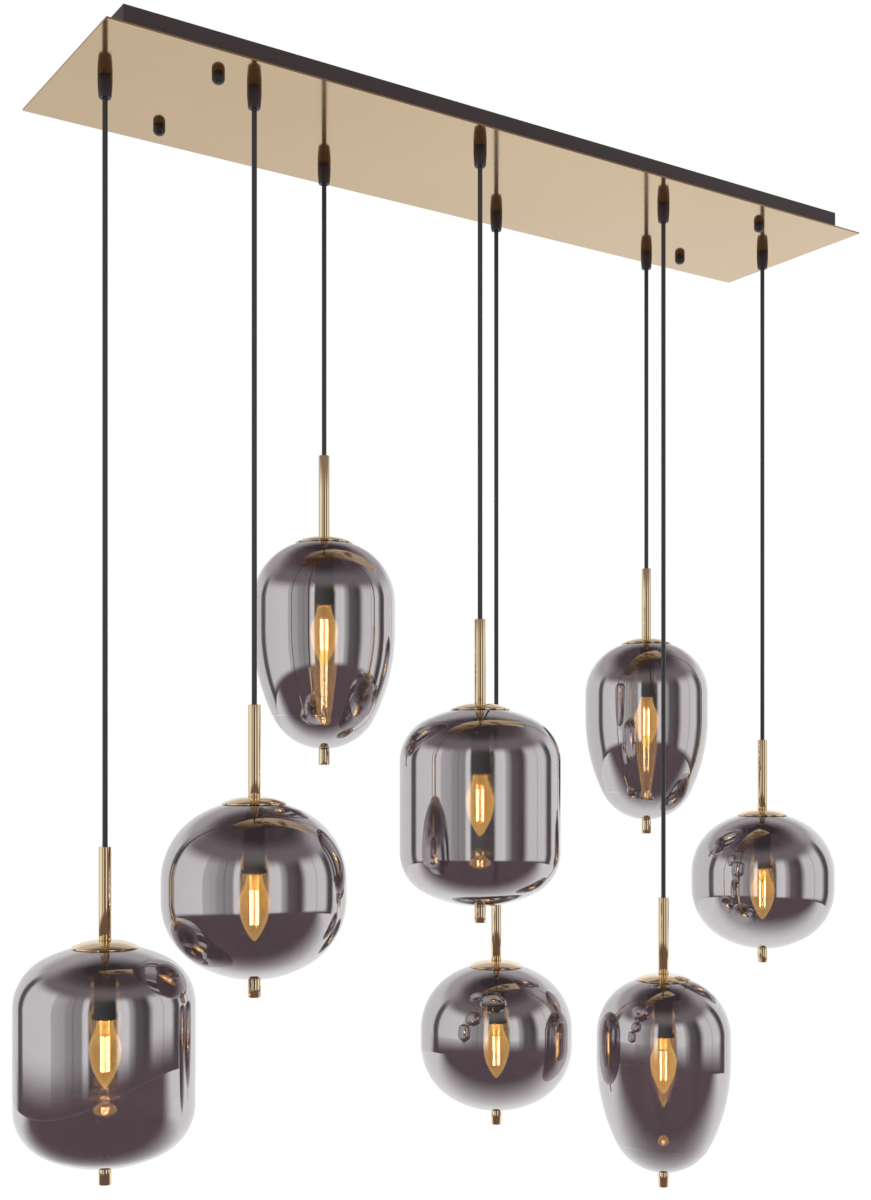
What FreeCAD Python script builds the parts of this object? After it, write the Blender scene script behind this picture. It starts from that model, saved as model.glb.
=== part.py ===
"""Cluster pendant: eight smoked glass shades on cords under one long brass faceplate.

Millimetres. The origin is the centre of the ceiling face, +Z is up, X runs along the
faceplate and -Y is the side that the long near row of pendants hangs on.
"""
import FreeCAD, Part
import math
import os
import Sketcher
from FreeCAD import Placement, Rotation, Vector

# Driving sizes in millimetres, kept in the sheet under these aliases
SIZES = {
    # faceplate and the canopy box behind it
    "face_length": 1100.0,
    "face_width": 255.0,
    "face_thickness": 2.0,
    "canopy_height": 28.0,
    "canopy_end_inset": 26.0,
    "canopy_side_inset": 20.0,
    "canopy_wall": 1.2,
    "canopy_flange": 12.0,
    # mounting bars, their studs and the cap nuts under the faceplate
    "bar_offset": 405.0,
    "bar_end_gap": 3.5,
    "bar_width": 40.0,
    "bar_thickness": 2.5,
    "slot_spacing": 80.0,
    "slot_length": 16.0,
    "slot_width": 5.2,
    "stud_end_inset": 13.0,
    "stud_radius": 2.5,
    "stud_below_face": 7.0,
    "cap_nut_radius": 7.0,
    "cap_nut_skirt": 6.0,
    "cap_nut_height": 12.0,
    # cord grips
    "grip_length": 24.0,
    "grip_waist": 8.0,
    "grip_top_radius": 8.0,
    "grip_end_radius": 6.7,
    "grip_shank_radius": 5.0,
    "grip_shank_above": 12.0,
    "grip_screw_radius": 1.6,
    "grip_screw_length": 4.0,
    "grip_screw_depth": 12.0,
    "lock_nut_flats": 14.0,
    "lock_nut_height": 4.0,
    # terminal block on the back of the faceplate
    "terminal_length": 44.0,
    "terminal_width": 22.0,
    "terminal_height": 14.0,
    "terminal_offset": 150.0,
    "terminal_pitch": 13.0,
    "terminal_wire_radius": 2.2,
    # cord
    "cord_radius": 2.9,
    "cord_throat_radius": 2.2,
    "cord_socket_depth": 5.0,
    # stem and cap of one pendant
    "stem_radius": 6.9,
    "stem_length": 101.0,
    "stem_edge": 0.7,
    "cap_radius": 35.5,
    "cap_rise": 8.0,
    "cap_rim": 1.2,
    "cap_seat_radius": 8.5,
    "cap_wall": 1.2,
    "nipple_radius": 4.95,
    "nipple_bore": 3.3,
    "nipple_in_stem": 13.0,
    "nipple_in_holder": 11.0,
    "crossbar_length": 62.0,
    "crossbar_width": 14.0,
    "crossbar_thickness": 1.5,
    # lampholder, depths measured down from the crown of the glass
    "collar_neck_radius": 9.0,
    "collar_slope_depth": 19.0,
    "collar_edge_depth": 24.0,
    "collar_depth": 31.0,
    "collar_radius": 21.5,
    "holder_radius": 12.0,
    "holder_depth": 80.0,
    "holder_ring_radius": 14.5,
    "holder_ring_height": 4.0,
    "holder_socket_length": 27.0,
    # candle bulb
    "bulb_radius": 17.5,
    "bulb_length": 75.0,
    "bulb_neck_radius": 8.8,
    "bulb_wall": 0.9,
    "bulb_flange": 1.6,
    "bulb_base_radius": 6.9,
    "bulb_base_length": 24.0,
    "bulb_pillar_radius": 2.6,
    "bulb_pillar_length": 16.0,
    "filament_radius": 0.9,
    "filament_length": 38.0,
    "filament_offset": 4.6,
    "filament_hub_radius": 6.0,
    "filament_hub_thickness": 0.6,
    "filament_rod_radius": 0.6,
    # glass shades
    "glass_wall": 2.6,
    "neck_radius": 28.0,
    "finial_hole_radius": 3.6,
    "lantern_radius": 96.5,
    "lantern_crown_extra": 51.0,
    "lantern_shoulder_inset": 39.5,
    "lantern_side": 107.5,
    "lantern_foot_inset": 41.5,
    "lantern_base_extra": 51.0,
    "apple_radius": 101.0,
    "apple_crown_extra": 19.0,
    "apple_shoulder_inset": 17.0,
    "apple_side": 20.6,
    "apple_foot_inset": 19.0,
    "apple_base_extra": 19.0,
    "egg_radius": 87.5,
    "egg_crown_extra": 26.5,
    "egg_shoulder_inset": 12.0,
    "egg_side": 34.0,
    "egg_flank_radius": 244.5,
    "egg_flank_drop": 106.5,
    "egg_foot_radius": 38.5,
    "egg_base_extra": 3.0,
    # finial under each shade
    "finial_radius": 7.0,
    "finial_length": 20.0,
    "finial_edge": 0.6,
    "finial_spigot_radius": 3.0,
    "finial_nut_flats": 11.0,
    "finial_nut_height": 4.0,
    "finial_spigot_length": 9.0,
    # clearances
    "running_gap": 0.3,
    "thread_gap": 0.1,
    "bolt_gap": 0.5,
    "swing_gap": 0.5,
}

# Each pendant: its shade, how far along the faceplate its cord leaves it, how far across as a
# share of half the faceplate, and how far the crown of its glass hangs below the faceplate
PENDANTS = [
    ("lantern", -504.0, -0.047, 935.0),
    ("apple", -358.0, -0.557, 780.0),
    ("egg", -189.0, 0.580, 463.0),
    ("lantern", -60.0, -0.604, 671.5),
    ("apple", 83.0, 0.690, 1005.0),
    ("egg", 354.0, 0.737, 560.0),
    ("egg", 248.0, -0.471, 1018.5),
    ("apple", 493.0, 0.008, 807.0),
]

doc = FreeCAD.newDocument("cluster_pendant")
sheet = doc.addObject("Spreadsheet::Sheet", "sizes")
parts = []


def fill_sheet():
    """Writes every driving size as one cell with its alias, and the place of each pendant."""
    cells = dict(SIZES)
    for number, (shape, along, across, drop) in enumerate(PENDANTS, 1):
        cells["pendant_%d_along" % number] = along
        cells["pendant_%d_across" % number] = across
        cells["pendant_%d_drop" % number] = drop
    for row, (alias, number) in enumerate(cells.items(), 1):
        sheet.set("A%d" % row, alias)
        sheet.set("B%d" % row, repr(number))
        sheet.setAlias("B%d" % row, alias)
    doc.recompute()


class Size:
    """A length with its number now and the expression that binds it to the sheet."""

    def __init__(self, number, text):
        self.number = number
        self.text = text

    def _with(self, other, number, sign):
        text = other.text if isinstance(other, Size) else repr(float(other))
        return Size(number, "(%s %s %s)" % (self.text, sign, text))

    def __add__(self, other):
        return self._with(other, self.number + amount(other), "+")

    def __sub__(self, other):
        return self._with(other, self.number - amount(other), "-")

    def __mul__(self, other):
        return self._with(other, self.number * amount(other), "*")

    def __truediv__(self, other):
        return self._with(other, self.number / amount(other), "/")

    def __neg__(self):
        return Size(-self.number, "(-%s)" % self.text)


ZERO = Size(0.0, "0")


def flat(x, z):
    """A point in the section plane of a turned piece."""
    return Vector(x, 0, z)


def amount(length):
    return length.number if isinstance(length, Size) else float(length)


def size(alias):
    return Size(float(sheet.get(alias)), "sizes." + alias)


def root(length):
    return Size(math.sqrt(length.number), "sqrt(%s)" % length.text)


def sag(radius, reach):
    """How far a sphere of this radius has fallen at this distance from its axis."""
    return radius - root(radius * radius - reach * reach)


def keep(piece, label):
    """Names a finished piece and puts it on the list that is written out."""
    piece.Label = label
    parts.append(piece)
    return piece


def place(piece, x, y, z):
    """Binds where a piece stands to the sheet."""
    for axis, length in zip("xyz", (x, y, z)):
        piece.setExpression("Placement.Base." + axis, length.text)
    piece.Placement.Base = Vector(amount(x), amount(y), amount(z))
    return piece


def plane(body, role):
    return next(item for item in body.Origin.OriginFeatures if item.Role == role)


def new_sketch(body, role, name):
    sketch = body.newObject("Sketcher::SketchObject", name)
    sketch.AttachmentSupport = [(plane(body, role), "")]
    sketch.MapMode = "FlatFace"
    return sketch


def bind(sketch, constraint, length):
    """Adds a dimension whose value comes from the sheet."""
    index = sketch.addConstraint(constraint)
    sketch.setExpression("Constraints[%d]" % index, length.text)


def pin_point(sketch, geometry, end, x, y):
    """Fixes one end of a line or arc, or a circle's centre, at a place from the sheet."""
    for kind, length in (("DistanceX", x), ("DistanceY", y)):
        bind(sketch, Sketcher.Constraint(kind, -1, 1, geometry, end, amount(length)), length)


def polygon(sketch, corners):
    """Draws a closed outline of straight lines through corners whose places are bound."""
    spots = [Vector(amount(x), amount(y), 0) for x, y in corners]
    first = None
    for index, spot in enumerate(spots):
        line = sketch.addGeometry(Part.LineSegment(spot, spots[(index + 1) % len(spots)]))
        first = line if first is None else first
        if index:
            sketch.addConstraint(Sketcher.Constraint("Coincident", line - 1, 2, line, 1))
    sketch.addConstraint(Sketcher.Constraint("Coincident", line, 2, first, 1))
    for index, (x, y) in enumerate(corners):
        pin_point(sketch, first + index, 1, x, y)


def rectangle(sketch, half_x, half_y):
    polygon(sketch, [(-half_x, -half_y), (half_x, -half_y), (half_x, half_y), (-half_x, half_y)])


def dome_radius(reach, rise):
    """The radius of the arc that is level at its start and falls by rise over reach."""
    return (reach * reach + rise * rise) / (rise * 2)


def bent_outline(sketch, corners, bends, returns):
    """A closed outline with arcs at the numbered sides; the second set runs back outward."""
    spots = [Vector(amount(x), amount(y), 0) for x, y in corners]
    count = len(spots)
    for index in range(count):
        one = spots[index]
        two = spots[(index + 1) % count]
        if index in bends:
            sketch.addGeometry(bend(one, two, amount(bends[index])))
        elif index in returns:
            sketch.addGeometry(bend(two, one, amount(returns[index])))
        else:
            sketch.addGeometry(Part.LineSegment(one, two))
    for index in range(count):
        after = (index + 1) % count
        leave = 1 if index in returns else 2
        enter = 2 if after in returns else 1
        sketch.addConstraint(Sketcher.Constraint("Coincident", index, leave, after, enter))
    for index, (x, y) in enumerate(corners):
        pin_point(sketch, index, 2 if index in returns else 1, x, y)
    for index, radius in list(bends.items()) + list(returns.items()):
        bind(sketch, Sketcher.Constraint("Radius", index, amount(radius)), radius)


def bend(one, two, radius):
    """The short arc of this radius from one point to the next, turning to the left."""
    along = two - one
    half = along.Length / 2
    across = Vector(-along.y, along.x, 0).normalize()
    centre = (one + two) / 2 + across * math.sqrt(radius * radius - half * half)
    start = one - centre
    end = two - centre
    ring = Part.Circle(centre, Vector(0, 0, 1), radius)
    return Part.ArcOfCircle(ring, math.atan2(start.y, start.x), math.atan2(end.y, end.x))


def circle(sketch, x, y, radius):
    spot = Vector(amount(x), amount(y), 0)
    ring = sketch.addGeometry(Part.Circle(spot, Vector(0, 0, 1), amount(radius)))
    pin_point(sketch, ring, 3, x, y)
    bind(sketch, Sketcher.Constraint("Radius", ring, amount(radius)), radius)


def new_body(name):
    return doc.addObject("PartDesign::Body", name)


def revolve(body, sketch, cut=False):
    kind = "PartDesign::Groove" if cut else "PartDesign::Revolution"
    turn = body.newObject(kind, sketch.Name + "_turn")
    turn.Profile = sketch
    turn.ReferenceAxis = (sketch, ["V_Axis"])
    turn.Angle = 360.0
    return turn


def turned(name, corners):
    """A body turned about its own Z axis from a closed outline of (radius, height) corners."""
    body = new_body(name)
    sketch = new_sketch(body, "XZ_Plane", name + "_section")
    polygon(sketch, corners)
    revolve(body, sketch)
    return body


def pad(body, sketch, length, down=False):
    lift = body.newObject("PartDesign::Pad", sketch.Name + "_pad")
    lift.Profile = sketch
    lift.setExpression("Length", length.text)
    lift.Reversed = down
    return lift


def pocket_through(body, sketch):
    """Cuts a sketch through the body both ways from its plane."""
    cut = body.newObject("PartDesign::Pocket", sketch.Name + "_cut")
    cut.Profile = sketch
    cut.Type = "ThroughAll"
    cut.Midplane = True
    return cut


def pocket(body, sketch, length, up=False):
    cut = body.newObject("PartDesign::Pocket", sketch.Name + "_cut")
    cut.Profile = sketch
    cut.setExpression("Length", length.text)
    cut.Reversed = up
    return cut


def group(label, members):
    """Several separate solids under one name."""
    bundle = doc.addObject("Part::Compound", label)
    bundle.Links = members
    return keep(bundle, label)


def corner_reach(flats):
    """How far the corners of a hexagon are from its centre."""
    return flats / math.sqrt(3)


def hexagon(sketch, flats):
    """A hexagon with two corners on the X axis."""
    corner = corner_reach(flats)
    corners = [(corner, ZERO), (corner / 2, flats / 2), (-corner / 2, flats / 2)]
    corners += [(-corner, ZERO), (-corner / 2, -flats / 2), (corner / 2, -flats / 2)]
    polygon(sketch, corners)


def nut(name, flats, bore, height):
    """A hexagon nut standing on its own origin."""
    body = new_body(name)
    outline = new_sketch(body, "XY_Plane", name + "_flats")
    hexagon(outline, flats)
    circle(outline, ZERO, ZERO, bore)
    pad(body, outline, height)
    return body


def pendant_place(number):
    """Where the cord of a pendant leaves the faceplate, and the height of its glass top."""
    x = size("pendant_%d_along" % number)
    y = size("face_width") / 2 * size("pendant_%d_across" % number)
    top = face_height() - size("pendant_%d_drop" % number)
    return x, y, top


def face_height():
    """The height of the visible underside of the faceplate."""
    return -size("canopy_height") - size("face_thickness")


def box_half_width():
    return size("face_width") / 2 - size("canopy_side_inset")


def bar_half_length():
    """The bars reach across the canopy box to a small gap before its flanges."""
    return box_half_width() - size("canopy_flange") - size("bar_end_gap")


def stud_places():
    across = bar_half_length() - size("stud_end_inset")
    along = size("bar_offset")
    return [(-along, -across), (-along, across), (along, -across), (along, across)]


def make_faceplate():
    """The brass plate that everything hangs from, drilled for the grips and the studs."""
    body = new_body("faceplate_body")
    outline = new_sketch(body, "XY_Plane", "faceplate_outline")
    rectangle(outline, size("face_length") / 2, size("face_width") / 2)
    pad(body, outline, size("face_thickness"))
    holes = new_sketch(body, "XY_Plane", "faceplate_holes")
    for number in range(1, len(PENDANTS) + 1):
        x, y, top = pendant_place(number)
        circle(holes, x, y, size("grip_shank_radius") + size("running_gap"))
    for x, y in stud_places():
        circle(holes, x, y, size("stud_radius") + size("bolt_gap"))
    pocket_through(body, holes)
    keep(place(body, ZERO, ZERO, face_height()), "faceplate")


def make_canopy_box():
    """Four sheet walls on the back of the faceplate with a flange turned in at the ceiling."""
    half_x = size("face_length") / 2 - size("canopy_end_inset")
    half_y = box_half_width()
    wall = size("canopy_wall")
    flange = size("canopy_flange")
    body = new_body("canopy_box_body")
    outline = new_sketch(body, "XY_Plane", "canopy_outline")
    rectangle(outline, half_x, half_y)
    pad(body, outline, size("canopy_height"), down=True)
    mouth = new_sketch(body, "XY_Plane", "canopy_mouth")
    rectangle(mouth, half_x - flange, half_y - flange)
    pocket_through(body, mouth)
    inside = new_sketch(body, "XY_Plane", "canopy_inside")
    inside.AttachmentOffset = Placement(Vector(0, 0, -amount(wall)), Rotation())
    inside.setExpression("AttachmentOffset.Base.z", (-wall).text)
    rectangle(inside, half_x - wall, half_y - wall)
    pocket(body, inside, size("canopy_height"))
    keep(place(body, ZERO, ZERO, ZERO), "canopy_box")


def slot(sketch, x, y, length, width):
    """A slot along X with round ends, centred at x, y."""
    reach = (length - width) / 2
    radius = width / 2
    arcs = []
    for centre, start in ((x + reach, -math.pi / 2), (x - reach, math.pi / 2)):
        ring = Part.Circle(Vector(amount(centre), amount(y), 0), Vector(0, 0, 1), amount(radius))
        arc = sketch.addGeometry(Part.ArcOfCircle(ring, start, start + math.pi))
        pin_point(sketch, arc, 3, centre, y)
        bind(sketch, Sketcher.Constraint("Radius", arc, amount(radius)), radius)
        arcs.append(arc)
    for one, two in ((arcs[0], arcs[1]), (arcs[1], arcs[0])):
        leave = sketch.getPoint(one, 2)
        reach_point = sketch.getPoint(two, 1)
        line = sketch.addGeometry(Part.LineSegment(leave, reach_point))
        sketch.addConstraint(Sketcher.Constraint("Tangent", one, 2, line, 1))
        sketch.addConstraint(Sketcher.Constraint("Tangent", line, 2, two, 1))


def make_mounting_bars():
    """Two steel strips across the canopy, each slotted for two ceiling screws."""
    members = []
    for side, name in ((-1, "left"), (1, "right")):
        body = new_body("bar_" + name)
        outline = new_sketch(body, "XY_Plane", "bar_outline_" + name)
        rectangle(outline, size("bar_width") / 2, bar_half_length())
        pad(body, outline, size("bar_thickness"), down=True)
        slots = new_sketch(body, "XY_Plane", "bar_slots_" + name)
        for y in (-size("slot_spacing") / 2, size("slot_spacing") / 2):
            slot(slots, ZERO, y, size("slot_length"), size("slot_width"))
        pocket_through(body, slots)
        members.append(place(body, size("bar_offset") * side, ZERO, ZERO))
    group("mounting_bars", members)


def make_studs():
    """Four threaded studs welded under the bars, reaching through the faceplate."""
    length = -face_height() - size("bar_thickness") + size("stud_below_face")
    members = []
    for index, (x, y) in enumerate(stud_places()):
        stud = doc.addObject("Part::Cylinder", "stud_%d" % index)
        stud.setExpression("Radius", size("stud_radius").text)
        stud.setExpression("Height", length.text)
        members.append(place(stud, x, y, -size("bar_thickness") - length))
    group("mounting_studs", members)


def make_cap_nuts():
    """Four domed nuts that hold the faceplate up on its studs."""
    radius = size("cap_nut_radius")
    skirt = size("cap_nut_skirt")
    height = size("cap_nut_height")
    bore = size("stud_radius") + size("thread_gap")
    depth = size("stud_below_face") + size("running_gap")
    members = []
    for index, (x, y) in enumerate(stud_places()):
        name = "cap_nut_%d" % index
        body = new_body(name)
        sketch = new_sketch(body, "XZ_Plane", name + "_section")
        corners = [(radius, -skirt), (radius, ZERO), (bore, ZERO), (bore, -depth)]
        corners += [(ZERO, -depth), (ZERO, -height)]
        bent_outline(sketch, corners, {5: dome_radius(radius, height - skirt)}, {})
        revolve(body, sketch)
        members.append(place(body, x, y, face_height()))
    group("cap_nuts", members)


def grip(name):
    """A black grip: a shank up through the faceplate, a tapered skirt and a socket for the cord."""
    top = size("grip_top_radius")
    length = size("grip_length")
    shank = size("grip_shank_radius")
    above = size("face_thickness") + size("grip_shank_above")
    socket = size("cord_radius") + size("swing_gap")
    throat = size("cord_throat_radius")
    mouth = -length + size("cord_socket_depth")
    corners = [(throat, above), (shank, above), (shank, ZERO), (top, ZERO)]
    corners += [(top, -size("grip_waist")), (size("grip_end_radius"), -length), (socket, -length)]
    corners += [(socket, mouth), (throat, mouth)]
    body = turned(name, corners)
    hole = new_sketch(body, "YZ_Plane", name + "_side_hole")
    bore = size("grip_screw_radius") + size("thread_gap")
    circle(hole, ZERO, -size("grip_screw_depth"), bore)
    pocket(body, hole, top + size("running_gap"), up=True)
    return body


def grip_screw(name):
    """The small clamp screw of a grip, its head just proud of the skirt on the +X side."""
    body = new_body(name)
    sketch = new_sketch(body, "YZ_Plane", name + "_round")
    start = size("grip_top_radius") - size("grip_screw_length")
    sketch.AttachmentOffset = Placement(Vector(0, 0, amount(start)), Rotation())
    sketch.setExpression("AttachmentOffset.Base.z", start.text)
    circle(sketch, ZERO, ZERO, size("grip_screw_radius"))
    pad(body, sketch, size("grip_screw_length"))
    return body


def make_cord_grips():
    """A grip, its lock nut on the back of the faceplate and its clamp screw for every cord."""
    grips = []
    nuts = []
    screws = []
    bore = size("grip_shank_radius") + size("thread_gap")
    for number in range(1, len(PENDANTS) + 1):
        x, y, top = pendant_place(number)
        grips.append(place(grip("grip_%d" % number), x, y, face_height()))
        lock = nut("lock_nut_%d" % number, size("lock_nut_flats"), bore, size("lock_nut_height"))
        nuts.append(place(lock, x, y, -size("canopy_height")))
        screw = grip_screw("grip_screw_%d" % number)
        screws.append(place(screw, x, y, face_height() - size("grip_screw_depth")))
    group("cord_grips", grips)
    group("grip_lock_nuts", nuts)
    group("grip_screws", screws)


def make_terminal_block():
    """A three way terminal block standing on the back of the faceplate."""
    body = new_body("terminal_block_body")
    outline = new_sketch(body, "XY_Plane", "terminal_outline")
    rectangle(outline, size("terminal_length") / 2, size("terminal_width") / 2)
    pad(body, outline, size("terminal_height"))
    ways = new_sketch(body, "XZ_Plane", "terminal_ways")
    pitch = size("terminal_pitch")
    for x in (-pitch, ZERO, pitch):
        circle(ways, x, size("terminal_height") / 2, size("terminal_wire_radius"))
    pocket_through(body, ways)
    keep(place(body, size("terminal_offset"), ZERO, -size("canopy_height")), "terminal_block")


def crown_radius(shape):
    """The radius of the dome over a shade, larger than its side so that it is flatter."""
    return size(shape + "_radius") + size(shape + "_crown_extra")


def centre_rise(inset, extra):
    """The height of a dome's centre over the centre of the rounding that runs into it."""
    return root(extra * extra + extra * inset * 2)


def shoulder_depth(shape):
    """How far below the crown the shoulder runs into the straight side."""
    inset = size(shape + "_shoulder_inset")
    return crown_radius(shape) - centre_rise(inset, size(shape + "_crown_extra"))


def side_end(shape):
    """How far below the crown the straight side ends."""
    return shoulder_depth(shape) + size(shape + "_side")


def foot_form(shape):
    """The radius of the foot rounding, and how far out and how far down its centre lies."""
    if shape != "egg":
        inset = size(shape + "_foot_inset")
        return size(shape + "_radius") - inset, inset, side_end(shape)
    foot = size("egg_foot_radius")
    flank = size("egg_flank_radius")
    drop = size("egg_flank_drop")
    level = root(flank * flank - drop * drop) / flank
    out = size("egg_radius") - flank + (flank - foot) * level
    return foot, out, side_end(shape) + (flank - foot) * drop / flank


def base_radius(shape):
    """The radius of the dome under a shade."""
    foot, out, down = foot_form(shape)
    return foot + out + size(shape + "_base_extra")


def base_depth(shape):
    """How far below the crown the centre of the dome under a shade lies."""
    foot, out, down = foot_form(shape)
    return down - centre_rise(out, size(shape + "_base_extra"))


def shade_height(shape):
    return base_depth(shape) + base_radius(shape)


def cap_height(shape):
    """The underside of the cap's rim where it meets the glass, from the crown of the glass."""
    inside = size("cap_radius") - size("cap_wall")
    return size("thread_gap") - sag(crown_radius(shape), inside)


def stem_foot(shape):
    """The height at which the stem stands on its cap, from the crown of the glass."""
    return cap_height(shape) + size("cap_rise")


def make_cord(number):
    """One taut cord from the socket of its grip to the socket of its stem."""
    shape = PENDANTS[number - 1][0]
    x, y, top = pendant_place(number)
    socket = size("cord_socket_depth")
    low = top + stem_foot(shape) + size("stem_length") - socket + size("running_gap")
    high = face_height() - size("grip_length") + socket - size("swing_gap")
    cord = doc.addObject("Part::Cylinder", "cord_%d" % number)
    cord.setExpression("Radius", size("cord_radius").text)
    cord.setExpression("Height", (high - low).text)
    keep(place(cord, x, y, low), "cable_%d" % number)


def stem(name):
    """The brass tube: a socket for the cord, a throat for its wires and a thread at the foot."""
    radius = size("stem_radius")
    length = size("stem_length")
    edge = size("stem_edge")
    socket = size("cord_radius") + size("running_gap")
    throat = size("cord_throat_radius")
    thread = size("nipple_radius") + size("thread_gap")
    deep = size("nipple_in_stem") + size("running_gap")
    mouth = length - size("cord_socket_depth")
    corners = [(thread, ZERO), (radius, ZERO), (radius, length - edge), (radius - edge, length)]
    corners += [(socket, length), (socket, mouth), (throat, mouth), (throat, deep), (thread, deep)]
    return turned(name, corners)


def cap(name):
    """The shallow brass dome over the neck of the glass, level where the stem stands."""
    radius = size("cap_radius")
    rise = size("cap_rise")
    rim = size("cap_rim")
    seat = size("cap_seat_radius")
    wall = size("cap_wall")
    bore = size("nipple_radius") + size("thread_gap")
    corners = [(radius, ZERO), (radius, rim), (seat, rise), (bore, rise), (bore, rise - wall)]
    corners += [(seat, rise - wall), (radius - wall, rim), (radius - wall, ZERO)]
    body = new_body(name)
    sketch = new_sketch(body, "XZ_Plane", name + "_section")
    outer = dome_radius(radius - seat, rise - rim)
    inner = dome_radius(radius - wall - seat, rise - wall - rim)
    bent_outline(sketch, corners, {1: outer}, {5: inner})
    revolve(body, sketch)
    return body


def nipple(name, shape):
    """The threaded tube that joins the stem, cap, crossbar and lampholder."""
    top = size("nipple_in_stem")
    low = crossbar_seat(shape) - stem_foot(shape) - size("nipple_in_holder")
    radius = size("nipple_radius")
    bore = size("nipple_bore")
    return turned(name, [(bore, low), (radius, low), (radius, top), (bore, top)])


def crossbar_height(shape):
    """The top of the crossbar, seated inside the neck of the glass, from the crown."""
    inner = crown_radius(shape) - size("glass_wall")
    half = size("crossbar_length") / 2
    side = size("crossbar_width") / 2
    reach = root(half * half + side * side)
    return -size("glass_wall") - sag(inner, reach) - size("thread_gap")


def crossbar_seat(shape):
    """The underside of the crossbar, which the lampholder is screwed up against."""
    return crossbar_height(shape) - size("crossbar_thickness")


def crossbar(name):
    """A flat steel bar turned in through the neck, on which the glass hangs."""
    body = new_body(name)
    outline = new_sketch(body, "XY_Plane", name + "_outline")
    rectangle(outline, size("crossbar_length") / 2, size("crossbar_width") / 2)
    circle(outline, ZERO, ZERO, size("nipple_radius") + size("thread_gap"))
    pad(body, outline, size("crossbar_thickness"), down=True)
    return body


def make_hanger(number):
    """The stem, cap, threaded tube and crossbar that carry one shade."""
    shape = PENDANTS[number - 1][0]
    x, y, top = pendant_place(number)
    foot = top + stem_foot(shape)
    members = [
        place(stem("stem_%d" % number), x, y, foot),
        place(cap("cap_%d" % number), x, y, top + cap_height(shape)),
        place(nipple("nipple_%d" % number, shape), x, y, foot),
        place(crossbar("crossbar_%d" % number), x, y, top + crossbar_height(shape)),
    ]
    group("hanger_%d" % number, members)


def make_lampholder(number):
    """The black lampholder: a flared collar, a barrel with its socket and a ring at the end."""
    shape = PENDANTS[number - 1][0]
    x, y, top = pendant_place(number)
    seat = crossbar_seat(shape)
    thread = size("nipple_radius") + size("thread_gap")
    thread_end = seat - size("nipple_in_holder") - size("running_gap")
    neck = size("collar_neck_radius")
    collar = size("collar_radius")
    barrel = size("holder_radius")
    ring = size("holder_ring_radius")
    low = -size("holder_depth")
    ring_top = low + size("holder_ring_height")
    socket = size("bulb_base_radius") + size("running_gap")
    socket_top = low + size("holder_socket_length")
    corners = [(thread, seat), (neck, seat), (neck, -size("collar_slope_depth"))]
    corners += [(collar, -size("collar_edge_depth")), (collar, -size("collar_depth"))]
    corners += [(barrel, -size("collar_depth")), (barrel, ring_top), (ring, ring_top)]
    corners += [(ring, low), (socket, low), (socket, socket_top), (ZERO, socket_top)]
    corners += [(ZERO, thread_end), (thread, thread_end)]
    body = turned("lampholder_body_%d" % number, corners)
    keep(place(body, x, y, top), "lampholder_%d" % number)


# Stations on the side of the candle: the share of its length, then of its bulge or of its radius
CANDLE_BULGE = [(0.07, 0.06), (0.18, 0.36), (0.29, 0.78), (0.40, 1.0)]
CANDLE_TIP = [(0.57, 0.93), (0.73, 0.74), (0.88, 0.42), (0.965, 0.17)]


def candle_curve(neck, radius, length):
    """The side of the candle from its neck at height zero down to the tip on the axis."""
    bulge = radius - neck
    stations = [flat(neck, 0)]
    stations += [flat(neck + bulge * wide, -length * deep) for deep, wide in CANDLE_BULGE]
    stations += [flat(radius * wide, -length * deep) for deep, wide in CANDLE_TIP]
    stations += [flat(0, -length)]
    curve = Part.BSplineCurve()
    curve.interpolate(Points=stations, InitialTangent=flat(0, -1), FinalTangent=flat(-1, 0))
    return curve.toShape()


def bulb_glass(name):
    """The hollow clear glass of the candle bulb, closed at the neck by the flange of its base."""
    neck = size("bulb_neck_radius").number
    radius = size("bulb_radius").number
    length = size("bulb_length").number - size("bulb_flange").number
    wall = size("bulb_wall").number
    outer = candle_curve(neck, radius, length)
    inner = candle_curve(neck * (radius - wall) / radius, radius - wall, length - wall)
    return feature(name, spun([outer, inner]))


def spun(curves):
    """Turns the strip between two curves about the Z axis into a solid."""
    outer, inner = curves
    first = Part.makeLine(outer.Vertexes[0].Point, inner.Vertexes[0].Point)
    last = Part.makeLine(outer.Vertexes[-1].Point, inner.Vertexes[-1].Point)
    edges = outer.Edges + inner.Edges + [first, last]
    face = Part.Face(Part.Wire(Part.__sortEdges__(edges)))
    solid = face.revolve(Vector(0, 0, 0), Vector(0, 0, 1), 360.0)
    return solid if solid.Volume > 0 else solid.reversed()


def feature(name, shape):
    piece = doc.addObject("Part::Feature", name)
    piece.Shape = shape
    return piece


def bulb_base(name):
    """The metal screw base of the bulb with the flange that closes its glass."""
    radius = size("bulb_base_radius")
    neck = size("bulb_neck_radius")
    length = size("bulb_base_length")
    tip = radius / 2
    low = -size("bulb_flange")
    corners = [(ZERO, low), (neck, low), (neck, ZERO), (radius, ZERO)]
    corners += [(radius, length - tip), (tip, length), (ZERO, length)]
    return turned(name, corners)


def bulb_support(name):
    """The glass pillar of the filaments with a thin rod and a hub at each of their ends."""
    pillar = size("bulb_pillar_radius")
    hub = size("filament_hub_radius")
    thick = size("filament_hub_thickness")
    rod = size("filament_rod_radius")
    top = -size("bulb_flange")
    near = top - size("bulb_pillar_length")
    far = near - thick - size("filament_length")
    corners = [(ZERO, top), (ZERO, far - thick), (hub, far - thick), (hub, far), (rod, far)]
    corners += [(rod, near - thick), (hub, near - thick), (hub, near), (pillar, near), (pillar, top)]
    return turned(name, corners)


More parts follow.
